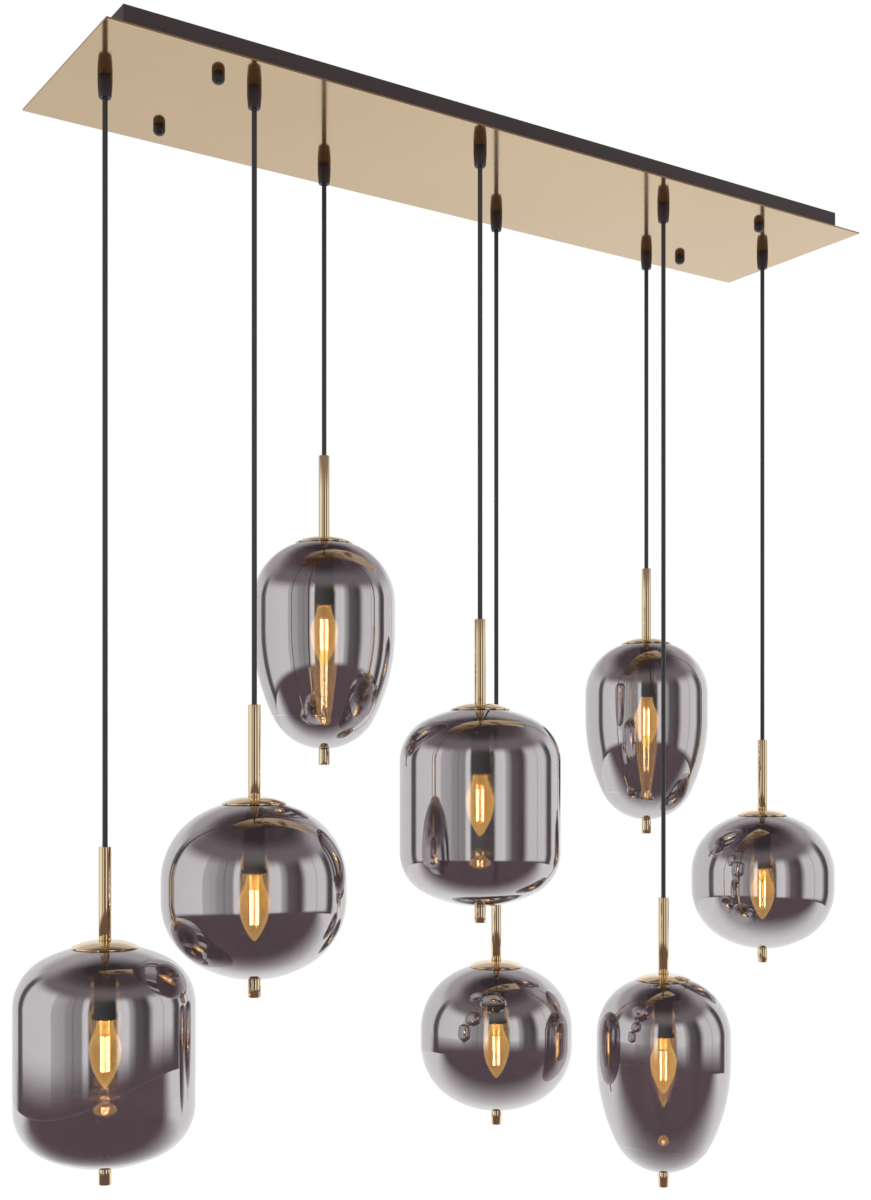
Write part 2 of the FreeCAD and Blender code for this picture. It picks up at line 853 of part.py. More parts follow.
def make_bulb(number):
    """A clear candle bulb: base, glass, support and four straight filaments."""
    x, y, top = pendant_place(number)
    start = top - size("holder_depth") - size("running_gap")
    near = start - size("bulb_flange") - size("bulb_pillar_length") - size("filament_hub_thickness")
    glass = bulb_glass("bulb_glass_%d" % number)
    members = [
        place(bulb_base("bulb_base_%d" % number), x, y, start),
        place(glass, x, y, start - size("bulb_flange")),
        place(bulb_support("bulb_support_%d" % number), x, y, start),
    ]
    offset = size("filament_offset")
    length = size("filament_length")
    for index, (across, along) in enumerate(((1, 0), (0, 1), (-1, 0), (0, -1))):
        filament = doc.addObject("Part::Cylinder", "filament_%d_%d" % (number, index))
        filament.setExpression("Radius", size("filament_radius").text)
        filament.setExpression("Height", length.text)
        members.append(place(filament, x + offset * across, y + offset * along, near - length))
    group("bulb_%d" % number, members)


def arc_point(centre, toward, radius):
    """The point at this radius from a centre, in the direction of another point."""
    return centre + (toward - centre).normalize() * radius


def arc(centre, one, two, radius):
    """The arc of this radius about a centre from one point to another."""
    middle = arc_point(centre, (one + two) / 2, radius)
    return Part.Arc(one, middle, two).toShape()


def crown_curve(shape, inset):
    """The crown and shoulder of a shade from its neck to the top of its side."""
    neck = size("neck_radius").number
    dome = crown_radius(shape).number
    reach = size(shape + "_shoulder_inset").number
    bend_radius = size(shape + "_radius").number - reach - inset
    crown = flat(0, -dome)
    shoulder = flat(reach, -shoulder_depth(shape).number)
    outer = dome - inset
    start = flat(neck, crown.z + math.sqrt(outer ** 2 - neck ** 2))
    meet = arc_point(crown, shoulder, outer)
    end = shoulder + flat(bend_radius, 0)
    return [arc(crown, start, meet, outer), arc(shoulder, meet, end, bend_radius)], end


def base_curve(shape, inset, begin):
    """The foot and base of a shade from the end of its side to the finial hole."""
    foot, out, down = (length.number for length in foot_form(shape))
    hole = size("finial_hole_radius").number
    base = base_radius(shape).number - inset
    foot_centre = flat(out, -down)
    centre = flat(0, -base_depth(shape).number)
    meet = arc_point(centre, foot_centre, base)
    end = flat(hole, centre.z - math.sqrt(base ** 2 - hole ** 2))
    return [arc(foot_centre, begin, meet, foot - inset), arc(centre, meet, end, base)]


def shade_curve(shape, inset):
    """The side of a shade from its neck to its finial hole, moved inward by the inset."""
    edges, side = crown_curve(shape, inset)
    foot, out, down = (length.number for length in foot_form(shape))
    low = flat(side.x, -side_end(shape).number)
    edges.append(Part.makeLine(side, low))
    if shape == "egg":
        flank = size("egg_flank_radius").number
        centre = flat(size("egg_radius").number - flank, low.z)
        begin = arc_point(centre, flat(out, -down), flank - inset)
        edges.append(arc(centre, low, begin, flank - inset))
        low = begin
    return Part.Wire(edges + base_curve(shape, inset, low))


def make_shade(number):
    """One blown glass shade of even wall, open at its neck and at its finial hole."""
    shape = PENDANTS[number - 1][0]
    x, y, top = pendant_place(number)
    outer = shade_curve(shape, 0.0)
    inner = shade_curve(shape, size("glass_wall").number)
    glass = feature("shade_glass_%d" % number, spun([outer, inner]))
    keep(place(glass, x, y, top), "shade_%d" % number)


def finial(name):
    """The plain brass cylinder under a shade with its spigot up through the glass."""
    radius = size("finial_radius")
    edge = size("finial_edge")
    length = size("finial_length")
    spigot = size("finial_spigot_radius")
    rise = size("finial_spigot_length")
    corners = [(ZERO, -length), (radius - edge, -length), (radius, edge - length)]
    corners += [(radius, ZERO), (spigot, ZERO), (spigot, rise), (ZERO, rise)]
    return turned(name, corners)


def make_finial(number):
    """The finial under a shade and the nut that holds it from inside the glass."""
    shape = PENDANTS[number - 1][0]
    x, y, top = pendant_place(number)
    low = top - shade_height(shape)
    flats = size("finial_nut_flats")
    bore = size("finial_spigot_radius") + size("thread_gap")
    lock = nut("finial_nut_%d" % number, flats, bore, size("finial_nut_height"))
    inner = base_radius(shape) - size("glass_wall")
    seat = low + size("glass_wall") + sag(inner, corner_reach(flats)) + size("thread_gap")
    members = [
        place(finial("finial_body_%d" % number), x, y, low),
        place(lock, x, y, seat),
    ]
    group("finial_%d" % number, members)


def check_and_write():
    """Stops on anything that failed to build, then writes one file for every piece."""
    doc.recompute()
    for item in doc.Objects:
        if "Invalid" in item.State or "Error" in item.State:
            raise RuntimeError("%s is %s" % (item.Name, item.State))
    os.makedirs("parts", exist_ok=True)
    for piece in parts:
        if piece.Shape.isNull() or not piece.Shape.isValid() or piece.Shape.Volume <= 0:
            raise RuntimeError("%s has no sound shape" % piece.Label)
        piece.Shape.exportStep("parts/%s.step" % piece.Label)


fill_sheet()
make_faceplate()
make_canopy_box()
make_mounting_bars()
make_studs()
make_cap_nuts()
make_cord_grips()
make_terminal_block()
for pendant in range(1, len(PENDANTS) + 1):
    make_cord(pendant)
    make_hanger(pendant)
    make_shade(pendant)
    make_lampholder(pendant)
    make_bulb(pendant)
    make_finial(pendant)
check_and_write()
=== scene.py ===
"""Cluster pendant: eight smoked glass shades hanging on cords under a long brass faceplate."""

import math

import bmesh
import bpy
from mathutils import Matrix, Vector


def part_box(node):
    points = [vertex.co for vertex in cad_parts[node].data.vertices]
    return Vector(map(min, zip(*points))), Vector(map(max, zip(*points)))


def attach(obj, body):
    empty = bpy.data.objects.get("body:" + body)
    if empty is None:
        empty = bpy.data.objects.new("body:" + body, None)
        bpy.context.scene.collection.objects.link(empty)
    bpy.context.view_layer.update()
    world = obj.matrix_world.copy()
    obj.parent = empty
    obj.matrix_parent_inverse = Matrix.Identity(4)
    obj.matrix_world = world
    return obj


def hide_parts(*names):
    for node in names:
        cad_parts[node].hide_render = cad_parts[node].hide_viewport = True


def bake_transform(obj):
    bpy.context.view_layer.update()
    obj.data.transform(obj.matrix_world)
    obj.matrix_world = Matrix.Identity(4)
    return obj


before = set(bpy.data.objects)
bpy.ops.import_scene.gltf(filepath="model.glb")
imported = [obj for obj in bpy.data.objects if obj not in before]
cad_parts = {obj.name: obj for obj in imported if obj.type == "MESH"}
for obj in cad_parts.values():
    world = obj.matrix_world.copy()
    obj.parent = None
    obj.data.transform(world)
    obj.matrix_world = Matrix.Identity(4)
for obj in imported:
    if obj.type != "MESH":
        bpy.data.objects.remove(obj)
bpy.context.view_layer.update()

MM = 0.001

# The faceplate's underside and the upper ends of the cords, below the ceiling
FACE = -30 * MM
CORD_TOP = -49.5 * MM
CORD_RADIUS = 2.9 * MM

# The shade of each pendant, in the order of their bodies
KINDS = ["lantern", "apple", "egg", "lantern", "apple", "egg", "egg", "apple"]

# The three forms: side radius, then how the crown, shoulder, side, foot and base run, in millimetres
FORMS = {
    "lantern": {"radius": 96.5, "crown": 51, "shoulder": 39.5, "side": 107.5, "foot": 41.5, "base": 51},
    "apple": {"radius": 101, "crown": 19, "shoulder": 17, "side": 20.6, "foot": 19, "base": 19},
    "egg": {"radius": 87.5, "crown": 26.5, "shoulder": 12, "side": 34, "base": 3},
}

# The long flank of the egg: its radius, how far down it runs, and the radius of the bend below it
EGG_FLANK = 244.5
EGG_DROP = 106.5
EGG_FOOT = 38.5

# From here to the studio every size is in millimetres.
# Clearances in threads, and round pieces that slide in
THREAD_GAP = 0.1
RUNNING_GAP = 0.3

# Glass wall, neck radius and radius of the hole at its foot
WALL = 2.6
NECK = 28
FINIAL_HOLE = 3.6

# Cap on the glass: radius, sheet, height, straight rim and the level seat of the stem
CAP = 35.5
CAP_SHEET = 1.2
CAP_RISE = 8
CAP_RIM = 1.2
CAP_SEAT = 8.5

# Stem: length and radius, its socket for the cord and the throat under that
STEM = 101
STEM_RADIUS = 6.9
SOCKET = 5
SOCKET_RADIUS = 3.2
THROAT = 2.2

# Threaded tube in the stem: radius, bore, and how far it stands in the stem and the lampholder
TUBE_RADIUS = 4.95
TUBE_BORE = 3.3
TUBE_IN_STEM = 13
TUBE_IN_HOLDER = 11

# Length, width and thickness of the crossbar under the neck of a glass
CROSSBAR = (62, 14, 1.5)

# Lampholder: radii of neck, collar, barrel and ring, and depths below the crown of the glass
HOLDER_NECK = 9
COLLAR_RADIUS = 21.5
COLLAR_SLOPE = 19
COLLAR_EDGE = 24
COLLAR_FOOT = 31
BARREL_RADIUS = 12
RING_RADIUS = 14.5
RING_HEIGHT = 4
HOLDER_DEPTH = 80
BULB_HOLE = 7.2
BULB_HOLE_LENGTH = 27

# Grooves round the barrel: how many, the first one's depth, their pitch, width and depth of cut
GROOVES = 6
FIRST_GROOVE = 36
GROOVE_PITCH = 6
GROOVE_WIDTH = 2
GROOVE_CUT = 0.4

# Candle bulb: flange, neck, widest radius, length and wall of the glass
BULB_FLANGE = 1.6
BULB_NECK = 8.8
BULB_RADIUS = 17.5
BULB_LENGTH = 73.4
BULB_WALL = 0.9

# Threaded base of the bulb: radii of collar, crest, root and tip, then its heights and its thread
BASE_COLLAR = 6.5
BASE_RADIUS = 6.9
BASE_ROOT = 6.4
BASE_TIP = 3.45
BASE_SHOULDER = 20.4
BASE_LENGTH = 24
THREAD_START = 1.5
THREAD_TURNS = 7
THREAD_PITCH = 2.6
THREAD_WIDTH = 1.8

# Inside the bulb: pillar, two hubs on a rod, and the filaments between the hubs
PILLAR_RADIUS = 2.6
PILLAR_LENGTH = 16
HUB_RADIUS = 6
HUB_SHEET = 0.6
ROD_RADIUS = 0.6
FILAMENT_RADIUS = 0.9
FILAMENT_LENGTH = 38
FILAMENT_OFFSET = 4.6

# Finial: length and radius, its spigot, and the nut inside the glass
FINIAL = 20
FINIAL_RADIUS = 7
SPIGOT_RADIUS = 3
SPIGOT_LENGTH = 9
FINIAL_NUT_RADIUS = 6.35
FINIAL_NUT_HEIGHT = 4
FINIAL_NUT_SEAT = 2.95

# Cord grip: its side as radii and heights, its shank, its socket, and the clamp screw in its side
GRIP_SIDE = [(8, 0), (8, -8), (7.75, -13), (7.35, -18), (6.9, -22.5), (6.3, -24)]
GRIP_SHANK_RADIUS = 5
GRIP_SHANK_TOP = 14
GRIP_SOCKET_RADIUS = 3.4
GRIP_SOCKET_TOP = 19
SCREW_RADIUS = 1.6
SCREW_LENGTH = 4
SCREW_OUT = 6
SCREW_DEPTH = 12

# Domed cap nuts: how far out they stand on the faceplate, radius, skirt, height and bore
CAP_NUT_ALONG = 405
CAP_NUT_ACROSS = 79
CAP_NUT_RADIUS = 7
CAP_NUT_SKIRT = 6
CAP_NUT_HEIGHT = 12
CAP_NUT_BORE = 2.6
CAP_NUT_BORE_DEPTH = 7.3

# How much of the brass shows its lacquer, and how much of the smoked glass is a mirror
LACQUER_SHARE = 0.13
MIRROR_SHARE = 0.57

# Where the lamps look, and the height of the studio's floor, in metres
LIGHT_MIDDLE = (0, 0, -0.7)
FLOOR = -2.2


def place_camera():
    """The photographed view: a level camera left of the light, shifted up to the faceplate."""
    camera = bpy.data.objects.new("camera", bpy.data.cameras.new("camera"))
    bpy.context.collection.objects.link(camera)
    camera.location = (-1.1150, -1.5724, -0.7804)
    camera.rotation_euler = (math.radians(90), 0, math.radians(-33.53))
    camera.data.sensor_width = 36
    camera.data.lens = 45.77
    camera.data.shift_y = 0.144
    bpy.context.scene.camera = camera


def colour(hex_code):
    """An sRGB hex colour as linear light with full alpha."""
    channels = [int(hex_code[i:i + 2], 16) / 255 for i in (1, 3, 5)]
    linear = [c / 12.92 if c <= 0.04045 else ((c + 0.055) / 1.055) ** 2.4 for c in channels]
    return (*linear, 1.0)


def node(tree, kind, inputs=None, **settings):
    """Adds a shader node with its settings; each input takes a number, a colour or another socket."""
    item = tree.nodes.new(kind)
    for name, value in settings.items():
        setattr(item, name, value)
    for name, value in (inputs or {}).items():
        if isinstance(value, bpy.types.NodeSocket):
            tree.links.new(value, item.inputs[name])
        else:
            item.inputs[name].default_value = value
    return item


def new_material(name):
    """A material with an empty node tree, and that tree."""
    material = bpy.data.materials.new(name)
    material.use_nodes = True
    tree = material.node_tree
    tree.nodes.clear()
    return material, tree


def finish_material(tree, surface):
    """Joins a shader to the output of its material."""
    node(tree, "ShaderNodeOutputMaterial", {"Surface": surface})


def object_point(tree):
    """The place on the piece in metres, which finishes of a real size are laid by."""
    return node(tree, "ShaderNodeTexCoord").outputs["Object"]


def tint_range(tree, factor, dark, light):
    """Runs a factor from 0 to 1 into a colour between two hex values."""
    ramp = node(tree, "ShaderNodeValToRGB", {"Fac": factor})
    ramp.color_ramp.elements[0].color = colour(dark)
    ramp.color_ramp.elements[1].color = colour(light)
    return ramp.outputs["Color"]


def number_range(tree, factor, low, high):
    """Runs a factor from 0 to 1 into a number between two values."""
    span = node(tree, "ShaderNodeMapRange", {"Value": factor, "To Min": low, "To Max": high})
    return span.outputs["Result"]


def noise(tree, point, size_mm, stretch=(1, 1, 1), detail=3.0):
    """Noise with grains of a real size, stretched along the axes where a finish has a direction."""
    scale = node(tree, "ShaderNodeMapping", {"Vector": point, "Scale": stretch})
    grain = {"Vector": scale.outputs["Vector"], "Scale": 1000.0 / size_mm, "Detail": detail}
    return node(tree, "ShaderNodeTexNoise", grain).outputs["Fac"]


def bump(tree, height, strength, distance_mm):
    """Fine relief from a height between 0 and 1, as deep as the distance."""
    inputs = {"Height": height, "Strength": strength, "Distance": distance_mm * MM}
    return node(tree, "ShaderNodeBump", inputs).outputs["Normal"]


def lacquered(tree, tint, roughness, normal):
    """Polished metal under a thin amber lacquer, which shows where the metal mirrors something dark."""
    metal = node(tree, "ShaderNodeBsdfPrincipled", {
        "Base Color": tint,
        "Metallic": 1.0,
        "Roughness": roughness,
        "Normal": normal,
    })
    lacquer = node(tree, "ShaderNodeBsdfPrincipled", {
        "Base Color": tint_range(tree, noise(tree, object_point(tree), 30), "#B4701A", "#BE7B24"),
        "Roughness": 0.3,
        "Normal": normal,
    })
    both = {0: LACQUER_SHARE, 1: metal.outputs["BSDF"], 2: lacquer.outputs["BSDF"]}
    return node(tree, "ShaderNodeMixShader", both).outputs["Shader"]


def mirror_brass_sheet():
    """Lacquered sheet brass, polished: a warm mirror with a faint rolling grain along the sheet."""
    material, tree = new_material("polished sheet brass")
    point = object_point(tree)
    grain = noise(tree, point, 1.2, (0.02, 1, 1))
    tint = tint_range(tree, noise(tree, point, 180), "#CCB593", "#D4BE9C")
    roughness = number_range(tree, grain, 0.07, 0.11)
    finish_material(tree, lacquered(tree, tint, roughness, bump(tree, grain, 0.03, 0.02)))
    return material


def turned_brass():
    """Brass tube and cap, turned, polished and lacquered: gold with clear long highlights."""
    material, tree = new_material("turned brass")
    point = object_point(tree)
    tint = tint_range(tree, noise(tree, point, 25), "#FBE6C0", "#FFECC9")
    rings = noise(tree, point, 0.6, (0.05, 0.05, 1))
    roughness = number_range(tree, rings, 0.04, 0.07)
    finish_material(tree, lacquered(tree, tint, roughness, bump(tree, rings, 0.01, 0.02)))
    return material


def dark_enamel():
    """Sheet steel with dark brown stove enamel: even, half matt, with a slight orange peel."""
    material, tree = new_material("dark brown stove enamel")
    point = object_point(tree)
    peel = noise(tree, point, 1.5)
    wear = noise(tree, point, 60)
    shader = node(tree, "ShaderNodeBsdfPrincipled", {
        "Base Color": tint_range(tree, wear, "#352C2C", "#423737"),
        "Roughness": number_range(tree, peel, 0.42, 0.52),
        "Normal": bump(tree, peel, 0.12, 0.05),
    })
    finish_material(tree, shader.outputs["BSDF"])
    return material


def moulded_nylon():
    """Moulded nylon of grips and cap nuts: brown black with a satin skin and a fine grain."""
    material, tree = new_material("brown black nylon")
    point = object_point(tree)
    grain = noise(tree, point, 0.4)
    flow = noise(tree, point, 9)
    shader = node(tree, "ShaderNodeBsdfPrincipled", {
        "Base Color": tint_range(tree, flow, "#2A2124", "#372B2F"),
        "Roughness": number_range(tree, grain, 0.30, 0.42),
        "Normal": bump(tree, grain, 0.10, 0.02),
    })
    finish_material(tree, shader.outputs["BSDF"])
    return material


def black_phenolic():
    """Phenolic resin of the lampholders: black and glossy, with faint moulding lines."""
    material, tree = new_material("black phenolic resin")
    point = object_point(tree)
    grain = noise(tree, point, 0.8)
    shader = node(tree, "ShaderNodeBsdfPrincipled", {
        "Base Color": tint_range(tree, grain, "#0E0C0D", "#1A1718"),
        "Roughness": number_range(tree, grain, 0.12, 0.20),
        "Normal": bump(tree, grain, 0.06, 0.02),
    })
    finish_material(tree, shader.outputs["BSDF"])
    return material


def cord_jacket():
    """Extruded round cord jacket: charcoal PVC with a dull sheen and a faint draw along it."""
    material, tree = new_material("charcoal cord jacket")
    point = object_point(tree)
    draw = noise(tree, point, 0.8, (1, 1, 0.05))
    shader = node(tree, "ShaderNodeBsdfPrincipled", {
        "Base Color": tint_range(tree, draw, "#302F31", "#343335"),
        "Roughness": number_range(tree, draw, 0.40, 0.44),
        "Normal": bump(tree, draw, 0.01, 0.03),
    })
    finish_material(tree, shader.outputs["BSDF"])
    return material


def zinc_steel():
    """Zinc plated steel of the bars, studs and screws: pale grey with a cloudy spangle."""
    material, tree = new_material("zinc plated steel")
    point = object_point(tree)
    spangle = noise(tree, point, 4)
    shader = node(tree, "ShaderNodeBsdfPrincipled", {
        "Base Color": tint_range(tree, spangle, "#A9ABAE", "#C6C8CA"),
        "Metallic": 1.0,
        "Roughness": number_range(tree, spangle, 0.28, 0.42),
        "Normal": bump(tree, spangle, 0.05, 0.02),
    })
    finish_material(tree, shader.outputs["BSDF"])
    return material


def pale_polyamide():
    """Polyamide of the terminal block: milky, half matt, slightly uneven."""
    material, tree = new_material("milky polyamide")
    point = object_point(tree)
    cloud = noise(tree, point, 6)
    shader = node(tree, "ShaderNodeBsdfPrincipled", {
        "Base Color": tint_range(tree, cloud, "#D8D5CB", "#E6E3DA"),
        "Roughness": number_range(tree, cloud, 0.40, 0.50),
        "Normal": bump(tree, cloud, 0.05, 0.03),
    })
    finish_material(tree, shader.outputs["BSDF"])
    return material


def smoked_film():
    """Blown glass with a vapour of chromium on it: half a mirror and half a grey violet window."""
    material, tree = new_material("chromium smoked glass")
    point = object_point(tree)
    blow = bump(tree, noise(tree, point, 60, (1, 1, 0.4), 1.0), 0.02, 0.3)
    film = noise(tree, point, 120)
    window = node(tree, "ShaderNodeBsdfPrincipled", {
        "Base Color": tint_range(tree, film, "#69595D", "#736267"),
        "Roughness": 0.0,
        "IOR": 1.5,
        "Transmission Weight": 1.0,
        "Normal": blow,
    })
    mirror = node(tree, "ShaderNodeBsdfPrincipled", {
        "Base Color": tint_range(tree, film, "#EAE6E8", "#F2EFF1"),
        "Metallic": 1.0,
        "Roughness": 0.0,
        "Normal": blow,
    })
    both = {0: MIRROR_SHARE, 1: window.outputs["BSDF"], 2: mirror.outputs["BSDF"]}
    finish_material(tree, node(tree, "ShaderNodeMixShader", both).outputs["Shader"])
    return material


def clear_glass():
    """The bare inner side of the blown glass: clear and slightly wavy."""
    material, tree = new_material("clear blown glass")
    point = object_point(tree)
    shader = node(tree, "ShaderNodeBsdfPrincipled", {
        "Base Color": tint_range(tree, noise(tree, point, 120), "#F6F3F4", "#FCFAFB"),
        "Roughness": 0.0,
        "IOR": 1.5,
        "Transmission Weight": 1.0,
        "Normal": bump(tree, noise(tree, point, 60, (1, 1, 0.4), 1.0), 0.02, 0.3),
    })
    finish_material(tree, shader.outputs["BSDF"])
    return material


def clear_bulb_glass():
    """Clear thin glass of the candle bulb, with a painted glow that stands in for the filaments' light
    inside it.
    """
    material, tree = new_material("bulb glass with painted glow")
    point = object_point(tree)
    blow = noise(tree, point, 20, (1, 1, 0.5), 1.0)
    # Painted glow: the glass itself shines amber, more strongly toward its outline as seen, in place of
    # the filaments' light scattered in it
    rim = node(tree, "ShaderNodeLayerWeight", {"Blend": 0.25}).outputs["Facing"]
    shader = node(tree, "ShaderNodeBsdfPrincipled", {
        "Base Color": tint_range(tree, blow, "#F9EBC4", "#FDF3DA"),
        "Roughness": 0.02,
        "IOR": 1.45,
        "Transmission Weight": 1.0,
        "Emission Color": tint_range(tree, rim, "#FFD566", "#FFE79A"),
        "Emission Strength": number_range(tree, rim, 0.45, 1.3),
    })
    finish_material(tree, shader.outputs["BSDF"])
    return material


def lit_filament():
    """Amber phosphor filament, lit: a warm near white that glows through the smoked glass."""
    material, tree = new_material("lit amber filament")
    point = object_point(tree)
    beads = noise(tree, point, 1.0)
    shader = node(tree, "ShaderNodeBsdfPrincipled", {
        "Base Color": tint_range(tree, beads, "#FFC36B", "#FFD98F"),
        "Roughness": 0.5,
        "Emission Color": colour("#FFF2C0"),
        "Emission Strength": 60.0,
    })
    finish_material(tree, shader.outputs["BSDF"])
    return material


def lathe(outline, steps=64, sharp=0.45, edge_mm=0.0):
    """Turns a closed outline of (radius, height) points about the Z axis into a bmesh."""
    shape = bmesh.new()
    points = [shape.verts.new((radius, 0, height)) for radius, height in outline]
    rim = [shape.edges.new((one, two)) for one, two in zip(points, points[1:] + points[:1])]
    bmesh.ops.spin(
        shape, geom=points + rim, cent=(0, 0, 0), axis=(0, 0, 1),
        angle=math.tau, steps=steps, use_merge=True,
    )
    bmesh.ops.remove_doubles(shape, verts=shape.verts, dist=1e-6)
    bmesh.ops.dissolve_degenerate(shape, edges=shape.edges, dist=1e-6)
    bmesh.ops.recalc_face_normals(shape, faces=shape.faces)
    if edge_mm:
        soften(shape, edge_mm, sharp)
    return shape


def soften(shape, edge_mm, sharp=0.45):
    """Bevels every edge that turns more than a sharp angle."""
    hard = [edge for edge in shape.edges if edge.is_manifold and edge.calc_face_angle() > sharp]
    bmesh.ops.bevel(
        shape, geom=hard, offset=edge_mm * MM, offset_type="OFFSET", affect="EDGES",
        segments=2, profile=0.5, material=-1, clamp_overlap=True,
    )


def mesh_object(name, shape, material, smooth=None):
    """Turns a bmesh into an object, smooth up to an angle in degrees where one is given."""
    mesh = bpy.data.meshes.new(name)
    shape.to_mesh(mesh)
    shape.free()
    if smooth is not None:
        for face in mesh.polygons:
            face.use_smooth = True
        mesh.set_sharp_from_angle(angle=math.radians(smooth))
    mesh.materials.append(material)
    item = bpy.data.objects.new(name, mesh)
    bpy.context.collection.objects.link(item)
    return item


def make_piece(name, shape, at, body, material, replaces=(), smooth=40):
    """Puts a bmesh in place as a finished piece that rides on its body."""
    bmesh.ops.translate(shape, verts=shape.verts, vec=Vector(at))
    piece = mesh_object(name, shape, material, smooth)
    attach(piece, body)
    if replaces:
        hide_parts(*replaces)
    return piece


def arc(centre, radius, start, end, steps):
    """Points on an arc, by angle in degrees from straight outward, turning up from start to end."""
    spots = []
    for step in range(steps + 1):
        angle = math.radians(start + (end - start) * step / steps)
        spots.append((centre[0] + radius * math.cos(angle), centre[1] + radius * math.sin(angle)))
    return spots


def crown_radius(kind):
    """The radius of the flat dome on top of a shade, in millimetres."""
    return FORMS[kind]["radius"] + FORMS[kind]["crown"]


def sag(radius, reach):
    """How far a sphere of this radius has fallen at this distance from its axis."""
    return radius - math.sqrt(radius * radius - reach * reach)


def cap_height(kind):
    """The underside of the cap's rim on the glass, from the crown of the glass."""
    return THREAD_GAP - sag(crown_radius(kind), CAP - CAP_SHEET)


def crossbar_seat(kind):
    """The underside of the crossbar inside the neck, from the crown of the glass."""
    corner = math.hypot(CROSSBAR[0] / 2, CROSSBAR[1] / 2)
    return -WALL - sag(crown_radius(kind) - WALL, corner) - THREAD_GAP - CROSSBAR[2]


def pendant_place(number, kind):
    """Where a cord hangs and the height of the crown of its glass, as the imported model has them."""
    low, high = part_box(f"cable_{number}")
    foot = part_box(f"finial_{number}")[0][2]
    top = foot + (FINIAL - form_arcs(kind)[1]) * MM
    return (low[0] + high[0]) / 2, (low[1] + high[1]) / 2, top


def form_arcs(kind):
    """The arcs of a shade as (centre, radius, start, end), from its neck down, in millimetres."""
    form = FORMS[kind]
    radius = form["radius"]
    crown = crown_radius(kind)
    rise = math.sqrt(form["crown"] ** 2 + 2 * form["crown"] * form["shoulder"])
    neck = math.degrees(math.acos(NECK / crown))
    turn = math.degrees(math.atan2(rise, form["shoulder"]))
    shoulder = (form["shoulder"], rise - crown)
    arcs = [((0, -crown), crown, neck, turn), (shoulder, radius - form["shoulder"], turn, 0)]
    low = shoulder[1] - form["side"]
    if kind == "egg":
        swing = -math.degrees(math.asin(EGG_DROP / EGG_FLANK))
        arcs.append(((radius - EGG_FLANK, low), EGG_FLANK, 0, swing))
        reach = EGG_FLANK - EGG_FOOT
        out = radius - EGG_FLANK + reach * math.cos(math.radians(swing))
        foot = (out, low + reach * math.sin(math.radians(swing)))
        bend = EGG_FOOT
    else:
        swing = 0
        out = form["foot"]
        foot = (out, low)
        bend = radius - out
    base = bend + out + form["base"]
    rise = math.sqrt(form["base"] ** 2 + 2 * form["base"] * out)
    centre = (0, foot[1] + rise)
    turn = -math.degrees(math.atan2(rise, out))
    arcs.append((foot, bend, swing, turn))
    arcs.append((centre, base, turn, -math.degrees(math.acos(FINIAL_HOLE / base))))
    return arcs, centre[1] - base


def shade_line(kind, inset_mm):
    """The side of a shade from its neck down to its finial hole, moved in by the inset."""
    line = []
    for centre, radius, start, end in form_arcs(kind)[0]:
        steps = max(4, int(abs(end - start) * radius / 260))
        spots = arc(centre, radius - inset_mm, start, end, steps)
        if line and near(line[-1], spots[0]):
            spots = spots[1:]
        line += spots
    return outline_mm(*line)


def near(one, two):
    """Whether two points of an outline in millimetres are one and the same."""
    return math.dist(one, two) < 0.01


def make_shade(number, kind, at, film, clear):
    """The blown glass: an even wall with the metal film on its outer side alone."""
    outer = shade_line(kind, 0)
    inner = shade_line(kind, WALL)
    shape = lathe(outer + inner[::-1], steps=128)
    middle = Vector((0, 0, form_arcs(kind)[1] / 2 * MM))
    for face in shape.faces:
        inward = face.normal.dot(face.calc_center_median() - middle) < 0
        face.material_index = 1 if inward else 0
    glass = make_piece(f"glass_{number}", shape, at, f"pendant_{number}", film,
                       [f"shade_{number}"], smooth=50)
    glass.data.materials.append(clear)


def outline_mm(*points):
    """Points given in millimetres, in metres."""
    return [(r * MM, z * MM) for r, z in points]


def ring(bore, radius, low, high):
    """The section of a plain tube."""
    return outline_mm((bore, low), (radius, low), (radius, high), (bore, high))


def dome(wide, rise, steps=10):
    """Points down an arc that is level at its start and falls by rise over its width."""
    radius = (wide * wide + rise * rise) / (2 * rise)
    turn = math.asin(wide / radius)
    angles = [turn * step / steps for step in range(steps + 1)]
    return [(radius * math.sin(a), radius * (math.cos(a) - 1)) for a in angles]


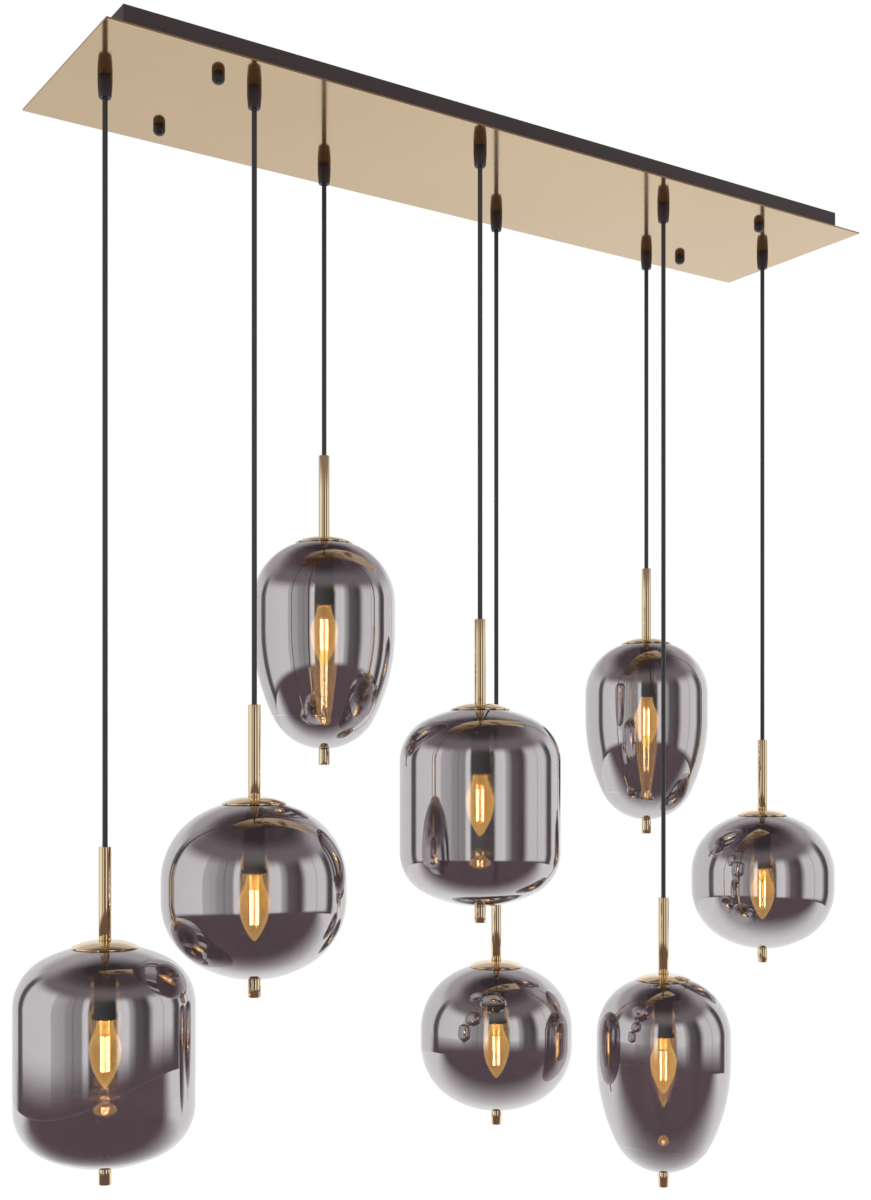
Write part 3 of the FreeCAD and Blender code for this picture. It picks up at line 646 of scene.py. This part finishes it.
def make_hanger(number, kind, at, brass, steel):
    """The stem on its cap, with the threaded tube and the crossbar that the glass hangs on."""
    body = f"pendant_{number}"
    rim = cap_height(kind)
    foot = rim + CAP_RISE
    cap_at = (at[0], at[1], at[2] + rim * MM)
    over = [(CAP_SEAT + r, CAP_RISE + z) for r, z in dome(CAP - CAP_SEAT, CAP_RISE - CAP_RIM)]
    under = dome(CAP - CAP_SHEET - CAP_SEAT, CAP_RISE - CAP_SHEET - CAP_RIM)
    under = [(CAP_SEAT + r, CAP_RISE - CAP_SHEET + z) for r, z in under]
    hole = TUBE_RADIUS + THREAD_GAP
    points = [(hole, CAP_RISE)] + over + [(CAP, 0), (CAP - CAP_SHEET, 0)] + under[::-1]
    points += [(hole, CAP_RISE - CAP_SHEET)]
    shape = lathe(outline_mm(*points), steps=96, edge_mm=0.25, sharp=0.6)
    make_piece(f"cap_{number}", shape, cap_at, body, brass, [f"hanger_{number}"])
    stem_at = (at[0], at[1], at[2] + foot * MM)
    stop = TUBE_IN_STEM + RUNNING_GAP
    points = [(hole, 0), (STEM_RADIUS, 0), (STEM_RADIUS, STEM), (SOCKET_RADIUS, STEM)]
    points += [(SOCKET_RADIUS, STEM - SOCKET), (THROAT, STEM - SOCKET), (THROAT, stop), (hole, stop)]
    shape = lathe(outline_mm(*points), steps=48, edge_mm=0.5, sharp=0.6)
    make_piece(f"stem_{number}", shape, stem_at, body, brass)
    low = crossbar_seat(kind) - foot - TUBE_IN_HOLDER
    shape = lathe(ring(TUBE_BORE, TUBE_RADIUS, low, TUBE_IN_STEM), steps=32, edge_mm=0.3, sharp=0.6)
    make_piece(f"nipple_{number}", shape, stem_at, body, steel)
    shape = bmesh.new()
    bmesh.ops.create_cube(shape, size=1.0)
    bmesh.ops.scale(shape, verts=shape.verts, vec=[side * MM for side in CROSSBAR])
    soften(shape, 0.4)
    bar_at = (at[0], at[1], at[2] + (crossbar_seat(kind) + CROSSBAR[2] / 2) * MM)
    make_piece(f"crossbar_{number}", shape, bar_at, body, steel)


def make_lampholder(number, kind, at, resin):
    """The black lampholder: a flared collar, a grooved barrel and a ring around the bulb."""
    seat = crossbar_seat(kind)
    hole = TUBE_RADIUS + THREAD_GAP
    hole_end = seat - TUBE_IN_HOLDER - RUNNING_GAP
    points = [(hole, seat), (HOLDER_NECK, seat), (HOLDER_NECK, -COLLAR_SLOPE)]
    points += [(COLLAR_RADIUS, -COLLAR_EDGE), (COLLAR_RADIUS, -COLLAR_FOOT), (BARREL_RADIUS, -COLLAR_FOOT)]
    for groove in range(GROOVES):
        height = -FIRST_GROOVE - groove * GROOVE_PITCH
        cut = BARREL_RADIUS - GROOVE_CUT
        points += [(BARREL_RADIUS, height), (cut, height - GROOVE_WIDTH / 4)]
        points += [(cut, height - GROOVE_WIDTH * 3 / 4), (BARREL_RADIUS, height - GROOVE_WIDTH)]
    ring_top = RING_HEIGHT - HOLDER_DEPTH
    hole_top = BULB_HOLE_LENGTH - HOLDER_DEPTH
    points += [(BARREL_RADIUS, ring_top), (RING_RADIUS, ring_top), (RING_RADIUS, -HOLDER_DEPTH)]
    points += [(BULB_HOLE, -HOLDER_DEPTH), (BULB_HOLE, hole_top), (0, hole_top)]
    points += [(0, hole_end), (hole, hole_end)]
    shape = lathe(outline_mm(*points), steps=64, edge_mm=0.35, sharp=0.6)
    make_piece(f"holder_{number}", shape, at, f"pendant_{number}", resin,
               [f"lampholder_{number}"])


def make_bulb(number, at, glass, brass, filament):
    """The candle bulb: threaded base, clear glass, and four filaments on their support."""
    body = f"pendant_{number}"
    start = (at[0], at[1], at[2] - (HOLDER_DEPTH + RUNNING_GAP) * MM)
    points = [(0, -BULB_FLANGE), (BULB_NECK, -BULB_FLANGE), (BULB_NECK, 0), (BASE_COLLAR, 0)]
    for turn in range(THREAD_TURNS):
        height = THREAD_START + turn * THREAD_PITCH
        points += [(BASE_ROOT, height), (BASE_RADIUS, height + THREAD_WIDTH / 2)]
        points += [(BASE_ROOT, height + THREAD_WIDTH)]
    points += [(BASE_ROOT, BASE_SHOULDER), (BASE_TIP, BASE_LENGTH), (0, BASE_LENGTH)]
    shape = lathe(outline_mm(*points), steps=48)
    make_piece(f"bulb_base_{number}", shape, start, body, brass, [f"bulb_{number}"])
    outer = candle_line(BULB_NECK, BULB_RADIUS, BULB_LENGTH)
    inner = candle_line(BULB_NECK - BULB_WALL / 2, BULB_RADIUS - BULB_WALL, BULB_LENGTH - BULB_WALL)
    shape = lathe(outline_mm(*outer, *inner[::-1]), steps=64)
    glass_at = (start[0], start[1], start[2] - BULB_FLANGE * MM)
    make_piece(f"bulb_glass_{number}", shape, glass_at, body, glass)
    hub = -BULB_FLANGE - PILLAR_LENGTH
    top = hub - HUB_SHEET
    end = top - FILAMENT_LENGTH
    points = [(0, -BULB_FLANGE), (0, end - HUB_SHEET), (HUB_RADIUS, end - HUB_SHEET), (HUB_RADIUS, end)]
    points += [(ROD_RADIUS, end), (ROD_RADIUS, top), (HUB_RADIUS, top), (HUB_RADIUS, hub)]
    points += [(PILLAR_RADIUS, hub), (PILLAR_RADIUS, -BULB_FLANGE)]
    shape = lathe(outline_mm(*points), steps=24)
    make_piece(f"bulb_support_{number}", shape, start, body, brass)
    offset = FILAMENT_OFFSET * MM
    for index, (across, along) in enumerate(((1, 0), (0, 1), (-1, 0), (0, -1))):
        shape = lathe(ring(0, FILAMENT_RADIUS, end, top), steps=16)
        spot = (start[0] + offset * across, start[1] + offset * along, start[2])
        make_piece(f"filament_{number}_{index + 1}", shape, spot, body, filament)


def candle_line(neck, radius, length):
    """The side of a candle bulb from its neck down to its point, in millimetres."""
    shares = [(0.0, 0.0), (0.06, 0.07), (0.36, 0.18), (0.78, 0.29), (1.0, 0.40)]
    line = [(neck + (radius - neck) * wide, -length * deep) for wide, deep in shares]
    for wide, deep in ((0.93, 0.57), (0.74, 0.73), (0.42, 0.88), (0.17, 0.965), (0.0, 1.0)):
        line.append((radius * wide, -length * deep))
    return smooth_line(line, 5)


def smooth_line(points, steps):
    """A smooth curve through points, by the tangent at each point from its neighbours."""
    spots = []
    last = len(points) - 1
    for index in range(last):
        one, two = Vector(points[index]), Vector(points[index + 1])
        before = Vector(points[max(index - 1, 0)])
        after = Vector(points[min(index + 2, last)])
        for step in range(steps):
            t = step / steps
            spot = one * 2 + (two - before) * t + (before * 2 - one * 5 + two * 4 - after) * t * t
            spot += (one * 3 - before - two * 3 + after) * t ** 3
            spots.append((max(spot.x / 2, 0), spot.y / 2))
    return spots + [points[-1]]


def make_finial(number, at, kind, brass, steel):
    """The plain brass cylinder under a glass, with its spigot and the nut inside."""
    body = f"pendant_{number}"
    low = (at[0], at[1], at[2] + form_arcs(kind)[1] * MM)
    points = [(0, -FINIAL), (FINIAL_RADIUS, -FINIAL), (FINIAL_RADIUS, 0), (SPIGOT_RADIUS, 0)]
    points += [(SPIGOT_RADIUS, SPIGOT_LENGTH), (0, SPIGOT_LENGTH)]
    shape = lathe(outline_mm(*points), steps=48, edge_mm=0.5, sharp=0.6)
    make_piece(f"finial_body_{number}", shape, low, body, brass, [f"finial_{number}"])
    shape = lathe(ring(SPIGOT_RADIUS + THREAD_GAP, FINIAL_NUT_RADIUS, 0, FINIAL_NUT_HEIGHT), steps=6)
    soften(shape, 0.3, 0.8)
    nut_at = (low[0], low[1], low[2] + FINIAL_NUT_SEAT * MM)
    make_piece(f"finial_nut_{number}", shape, nut_at, body, steel)


def cord_tube(number, route):
    """A round tube on a NURBS route, and the points of the route that it follows."""
    data = bpy.data.curves.new(f"route_{number}", "CURVE")
    data.dimensions = "3D"
    data.resolution_u = 24
    spline = data.splines.new("NURBS")
    spline.points.add(len(route) - 1)
    for point, spot in zip(spline.points, route):
        point.co = (*spot, 1)
    spline.order_u = 3
    spline.use_endpoint_u = True
    line = bpy.data.objects.new(f"route_{number}", data)
    bpy.context.collection.objects.link(line)
    bpy.context.view_layer.update()
    path = [list(v.co) for v in bpy.data.meshes.new_from_object(line).vertices]
    data.bevel_depth = CORD_RADIUS
    data.bevel_resolution = 6
    data.use_fill_caps = True
    bpy.context.view_layer.update()
    shape = bmesh.new()
    shape.from_mesh(bpy.data.meshes.new_from_object(line))
    bpy.data.objects.remove(line)
    bmesh.ops.remove_doubles(shape, verts=shape.verts, dist=1e-6)
    bmesh.ops.recalc_face_normals(shape, faces=shape.faces)
    return shape, path


def make_cord(number, kind, at, jacket):
    """A taut round cord from the socket of its grip to the socket of its stem."""
    x, y, top = at
    low = top + (cap_height(kind) + CAP_RISE + STEM - SOCKET + RUNNING_GAP) * MM
    route = [(x, y, CORD_TOP), (x, y, (CORD_TOP + low) / 2), (x, y, low)]
    shape, path = cord_tube(number, route)
    cord = mesh_object(f"cord_{number}", shape, jacket, smooth=50)
    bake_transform(cord)
    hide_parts(f"cable_{number}")


def make_grips(places, nylon, steel):
    """The grips that hold the cords under the faceplate, each with its clamp screw."""
    foot = GRIP_SIDE[-1][1]
    points = [(THROAT, GRIP_SHANK_TOP), (GRIP_SHANK_RADIUS, GRIP_SHANK_TOP), (GRIP_SHANK_RADIUS, 0)]
    points += GRIP_SIDE + [(GRIP_SOCKET_RADIUS, foot), (GRIP_SOCKET_RADIUS, -GRIP_SOCKET_TOP)]
    points += [(THROAT, -GRIP_SOCKET_TOP)]
    for number, (x, y, _) in enumerate(places, 1):
        shape = lathe(outline_mm(*points), steps=48, edge_mm=0.3, sharp=0.6)
        replaced = ["cord_grips"] if number == 1 else []
        make_piece(f"grip_{number}", shape, (x, y, FACE), "canopy", nylon, replaced)
        shape = bmesh.new()
        bmesh.ops.create_cone(
            shape, cap_ends=True, segments=20, radius1=SCREW_RADIUS * MM, radius2=SCREW_RADIUS * MM,
            depth=SCREW_LENGTH * MM, matrix=Matrix.Rotation(math.radians(90), 4, "Y"),
        )
        soften(shape, 0.25)
        spot = (x + SCREW_OUT * MM, y, FACE - SCREW_DEPTH * MM)
        replaced = ["grip_screws"] if number == 1 else []
        make_piece(f"grip_screw_{number}", shape, spot, "canopy", steel, replaced)


def make_cap_nuts(nylon):
    """Four domed nuts under the faceplate."""
    dome_height = CAP_NUT_HEIGHT - CAP_NUT_SKIRT
    points = [(0, -CAP_NUT_HEIGHT)]
    for turn in range(10, 91, 10):
        angle = math.radians(turn)
        rise = dome_height * math.cos(angle)
        points.append((CAP_NUT_RADIUS * math.sin(angle), -CAP_NUT_SKIRT - rise))
    points += [(CAP_NUT_RADIUS, 0), (CAP_NUT_BORE, 0), (CAP_NUT_BORE, -CAP_NUT_BORE_DEPTH)]
    points += [(0, -CAP_NUT_BORE_DEPTH)]
    spots = [(x, y) for x in (-CAP_NUT_ALONG, CAP_NUT_ALONG) for y in (-CAP_NUT_ACROSS, CAP_NUT_ACROSS)]
    for number, (x, y) in enumerate(spots, 1):
        shape = lathe(outline_mm(*points), steps=40, edge_mm=0.3, sharp=0.8)
        replaced = ["cap_nuts"] if number == 1 else []
        make_piece(f"cap_nut_{number}", shape, (x * MM, y * MM, FACE), "canopy",
                   nylon, replaced)


def coat(name, material):
    """Gives a carried-over CAD node its finish."""
    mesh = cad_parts[name].data
    mesh.materials.clear()
    mesh.materials.append(material)


def panel(name, size, at, look, strength):
    """A soft lamp of a size in metres and a strength in watts, which shows in no reflection."""
    lamp = bpy.data.lights.new(name, "AREA")
    lamp.shape = "RECTANGLE"
    lamp.size, lamp.size_y = size
    lamp.energy = strength
    item = bpy.data.objects.new(name, lamp)
    bpy.context.collection.objects.link(item)
    item.location = at
    item.rotation_euler = (Vector(look) - Vector(at)).to_track_quat("-Z", "Y").to_euler()
    item.visible_glossy = False
    item.visible_transmission = False


# The screen round the set by compass bearing in degrees, nought at the near side and positive to
# the right, with its brightness: tall soft boxes with dark gaps, and open white behind the light.
# Then, in metres, its radius, its foot, where its wall turns into a dome, and that dome's rise.
SCREEN = [
    (-90, 0.66), (-76, 0.56), (-72, 0.42), (-65, 0.38), (-64.2, 0.06), (-63.4, 0.38), (-56, 0.36),
    (-53, 1.0), (-49, 1.0), (-47, 0.10), (-18, 0.05), (-13, 0.95), (-3, 1.0), (2, 0.50), (10, 0.12),
    (24, 0.06), (36, 0.90), (49, 0.92), (50, 0.08), (51, 0.92), (64, 0.95), (74, 0.08), (80, 0.08),
    (86, 0.95), (112, 1.0), (130, 1.0), (168, 0.85), (210, 0.88), (216, 0.10), (222, 0.12),
    (228, 0.90), (262, 0.95),
]
SCREEN_RADIUS = 3.2
SCREEN_FOOT = -1.80
SCREEN_EAVES = 0.2
SCREEN_RISE = 2.8
TOWARD_CAMERA = (-0.578, -0.816, 0)
DARK_CLOTH = "#5C4F53"


def in_reflections_only(item):
    """Shows a studio card only in metal and glass: the camera, the light and the shadows miss it."""
    item.visible_camera = False
    item.visible_diffuse = False
    item.visible_shadow = False


def fade(tree, value, start, end):
    """0 before start and 1 past end, with a soft run between."""
    span = {"Value": value, "From Min": start, "From Max": end}
    return node(tree, "ShaderNodeMapRange", span, interpolation_type="SMOOTHSTEP").outputs["Result"]


def mix_colours(tree, share, one, two):
    """One colour or socket that gives way to another as the share runs from 0 to 1."""
    return node(tree, "ShaderNodeMix", {0: share, 6: one, 7: two}, data_type="RGBA").outputs[2]


def near_side(tree, start, end):
    """1 on the camera's side of the set and 0 on the far side."""
    ahead = {0: object_point(tree), 1: TOWARD_CAMERA}
    along = node(tree, "ShaderNodeVectorMath", ahead, operation="DOT_PRODUCT").outputs["Value"]
    return fade(tree, along, start, end)


def glowing(name, tree_paint):
    """A material that shines with the colour that tree_paint makes, and lights nothing."""
    material, tree = new_material(name)
    shine = node(tree, "ShaderNodeEmission", {"Color": tree_paint(tree)})
    finish_material(tree, shine.outputs["Emission"])
    material.cycles.emission_sampling = "NONE"
    return material


def screen_colour(tree):
    """Bands by bearing on the wall of the screen, grey on its ceiling and dark at the near foot."""
    point = object_point(tree)
    turn = node(tree, "ShaderNodeTexGradient", {"Vector": point}, gradient_type="RADIAL")
    bands = node(tree, "ShaderNodeValToRGB", {"Fac": turn.outputs["Fac"]})
    ramp = bands.color_ramp
    ramp.interpolation = "EASE"
    while len(ramp.elements) < len(SCREEN):
        ramp.elements.new(0.5)
    for stop, (bearing, glow) in zip(ramp.elements, SCREEN):
        stop.position = bearing / 360 + 0.25
        stop.color = (glow, glow, glow, 1)
    height = node(tree, "ShaderNodeSeparateXYZ", {"Vector": point}).outputs["Z"]
    eaves = fade(tree, height, SCREEN_EAVES, SCREEN_EAVES + 1.0)
    ceiling = mix_colours(tree, near_side(tree, -1.6, 0.4), colour("#C2BEC0"), colour("#7E787B"))
    walls = mix_colours(tree, eaves, bands.outputs["Color"], ceiling)
    roof = mix_colours(tree, fade(tree, height, 1.5, 2.6), walls, colour("#453E41"))
    foot = fade(tree, height, SCREEN_FOOT + 0.28, SCREEN_FOOT + 0.02)
    both = {0: foot, 1: near_side(tree, -1.8, -0.8)}
    low = node(tree, "ShaderNodeMath", both, operation="MULTIPLY").outputs[0]
    return mix_colours(tree, low, roof, colour(DARK_CLOTH))


def cloth_colour(tree):
    """Dark on the camera's side and white on the far side."""
    return mix_colours(tree, near_side(tree, -0.7, 0.45), colour("#FFFFFF"), colour(DARK_CLOTH))


def stand_cards():
    """The domed screen round the set, and a dark cloth at its foot."""
    profile = [(SCREEN_RADIUS, SCREEN_FOOT), (SCREEN_RADIUS, SCREEN_EAVES)]
    for step in range(1, 11):
        turn = step / 20 * math.pi
        height = SCREEN_EAVES + SCREEN_RISE * math.sin(turn)
        profile.append((SCREEN_RADIUS * math.cos(turn), height))
    shape = bmesh.new()
    spots = [shape.verts.new((max(r, 0), 0, z)) for r, z in profile]
    line = [shape.edges.new(pair) for pair in zip(spots, spots[1:])]
    bmesh.ops.spin(shape, geom=spots + line, cent=(0, 0, 0), axis=(0, 0, 1), angle=math.tau,
                   steps=96, use_merge=True)
    bmesh.ops.remove_doubles(shape, verts=shape.verts, dist=1e-5)
    in_reflections_only(mesh_object("screen", shape, glowing("screen cloth", screen_colour)))
    shape = bmesh.new()
    bmesh.ops.create_circle(shape, cap_ends=True, segments=64, radius=SCREEN_RADIUS)
    bmesh.ops.translate(shape, verts=shape.verts, vec=(0, 0, SCREEN_FOOT))
    in_reflections_only(mesh_object("low_cloth", shape, glowing("floor cloth", cloth_colour)))


def seen_share(tree):
    """1 where the camera, a reflection or a view through glass looks at it, else 0."""
    ray = node(tree, "ShaderNodeLightPath")
    share = ray.outputs["Is Camera Ray"]
    for kind in ("Is Glossy Ray", "Is Transmission Ray"):
        share = node(tree, "ShaderNodeMath", {0: share, 1: ray.outputs[kind]}, operation="MAXIMUM")
        share = share.outputs[0]
    return share


def light_studio():
    """White surroundings, soft lamps and a pale floor well below the glasses."""
    world = bpy.data.worlds.new("studio")
    bpy.context.scene.world = world
    world.use_nodes = True
    tree = world.node_tree
    tree.nodes.clear()
    strength = number_range(tree, seen_share(tree), 0.55, 1.0)
    sky = node(tree, "ShaderNodeBackground", {"Color": colour("#FFFFFF"), "Strength": strength})
    node(tree, "ShaderNodeOutputWorld", {"Surface": sky.outputs["Background"]})
    panel("key", (1.6, 2.2), (-2.6, -2.4, 0.6), LIGHT_MIDDLE, 55)
    panel("fill", (1.4, 2.2), (2.8, -2.0, 0.2), LIGHT_MIDDLE, 30)
    panel("back", (2.4, 1.2), (0.5, 2.8, 0.8), LIGHT_MIDDLE, 30)
    stand_cards()
    lay_floor()


def lay_floor():
    """Pale floor paint that fades into the white surroundings away from the light."""
    material, tree = new_material("pale floor paint")
    point = object_point(tree)
    paint = node(tree, "ShaderNodeBsdfPrincipled", {
        "Base Color": tint_range(tree, noise(tree, point, 3), "#F2F1EF", "#F7F6F4"),
        "Roughness": 0.8,
    })
    white = node(tree, "ShaderNodeEmission", {"Color": colour("#FFFFFF"), "Strength": 1.0})
    level = node(tree, "ShaderNodeMapping", {"Vector": point, "Scale": (1, 1, 0)}).outputs["Vector"]
    away = node(tree, "ShaderNodeVectorMath", {0: level}, operation="LENGTH").outputs["Value"]
    whiter = node(tree, "ShaderNodeMapRange", {
        "Value": away, "From Min": 0.6, "From Max": 2.6, "To Min": 0.86, "To Max": 1.0,
    })
    seen = {0: seen_share(tree), 1: whiter.outputs["Result"]}
    share = node(tree, "ShaderNodeMath", seen, operation="MULTIPLY").outputs[0]
    mixed = node(tree, "ShaderNodeMixShader", {
        0: share,
        1: paint.outputs["BSDF"],
        2: white.outputs["Emission"],
    })
    finish_material(tree, mixed.outputs["Shader"])
    shape = bmesh.new()
    bmesh.ops.create_grid(shape, x_segments=4, y_segments=4, size=9.0)
    bmesh.ops.translate(shape, verts=shape.verts, vec=(0, 0, FLOOR))
    mesh_object("floor", shape, material)


place_camera()
bpy.context.scene.view_settings.view_transform = "Standard"

jacket = cord_jacket()
places = [pendant_place(number, kind) for number, kind in enumerate(KINDS, 1)]
for number, (kind, at) in enumerate(zip(KINDS, places), 1):
    make_cord(number, kind, at, jacket)

brass = turned_brass()
steel = zinc_steel()
nylon = moulded_nylon()
resin = black_phenolic()
film = smoked_film()
clear = clear_glass()
bulb_glass = clear_bulb_glass()
filament = lit_filament()
for number, (kind, at) in enumerate(zip(KINDS, places), 1):
    make_shade(number, kind, at, film, clear)
    make_hanger(number, kind, at, brass, steel)
    make_lampholder(number, kind, at, resin)
    make_bulb(number, at, bulb_glass, brass, filament)
    make_finial(number, at, kind, brass, steel)
make_grips(places, nylon, steel)
make_cap_nuts(nylon)

coat("faceplate", mirror_brass_sheet())
coat("canopy_box", dark_enamel())
coat("mounting_bars", steel)
coat("mounting_studs", steel)
coat("grip_lock_nuts", nylon)
coat("terminal_block", pale_polyamide())

light_studio()
